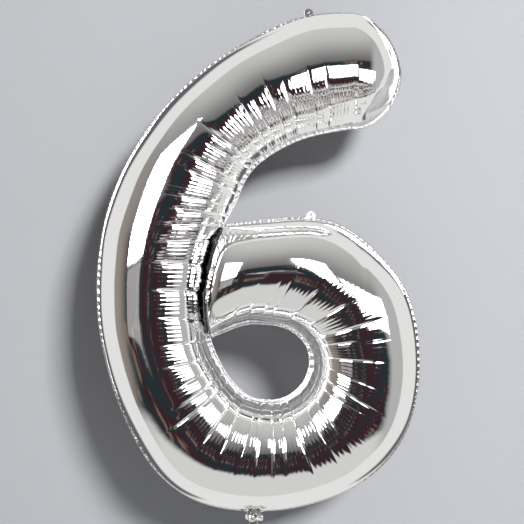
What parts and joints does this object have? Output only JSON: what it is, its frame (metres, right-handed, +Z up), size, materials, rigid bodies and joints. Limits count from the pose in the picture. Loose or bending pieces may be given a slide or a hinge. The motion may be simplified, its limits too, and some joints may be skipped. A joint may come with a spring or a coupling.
{
  "type": "foil number balloon",
  "caption": "Silver foil number six balloon: two welded film panels, inner filling valve, knotted tail and hanging ears with eyelets.",
  "frame": {"origin": "centre of the hanging eyelet in the ear on top of the arm, on the seam plane", "axes": "+X to the digit's right as it is read, +Y towards its back, +Z up"},
  "size_m": [0.5576, 0.1826, 0.9393],
  "materials": {
    "foil": "mirror-bright metallised film",
    "valve_film": "cloudy translucent film"
  },
  "bodies": {
    "balloon": {"front_panel": "foil", "back_panel": "foil"},
    "valve": {"valve_front_film": "valve_film", "valve_back_film": "valve_film"},
    "neck": {"neck_front_film": "foil", "neck_back_film": "foil", "tail_knot": "foil"},
    "tail": {"tail_front_film": "foil", "tail_back_film": "foil"},
    "top_ear": {"top_ear_front_film": "foil", "top_ear_back_film": "foil"},
    "bowl_ear": {"bowl_ear_front_film": "foil", "bowl_ear_back_film": "foil"}
  },
  "joints": [
    {"name": "neck_fold", "type": "hinge", "parent": "balloon", "child": "neck", "pos_m": [-0.09412, 0, -0.85931], "axis": [1, 0, 0], "range_deg": [-60, 60]},
    {"name": "tail_fold", "type": "hinge", "parent": "neck", "child": "tail", "pos_m": [-0.09412, 0, -0.87881], "axis": [1, 0, 0], "range_deg": [-45, 45]},
    {"name": "top_ear_fold", "type": "hinge", "parent": "balloon", "child": "top_ear", "pos_m": [0.00035, 0, -0.00248], "axis": [0.9903, 0, 0.1392], "range_deg": [-75, 75], "stiffness_Nm_per_rad": 0.00002},
    {"name": "bowl_ear_fold", "type": "hinge", "parent": "balloon", "child": "bowl_ear", "pos_m": [0.00394, 0, -0.35133], "axis": [0.9945, 0, -0.1045], "range_deg": [-75, 75], "stiffness_Nm_per_rad": 0.00002},
    {"name": "valve_swing", "type": "hinge", "parent": "balloon", "child": "valve", "pos_m": [-0.09412, 0, -0.84801], "axis": [1, 0, 0], "range_deg": [-15, 15], "stiffness_Nm_per_rad": 0.002}
  ]
}
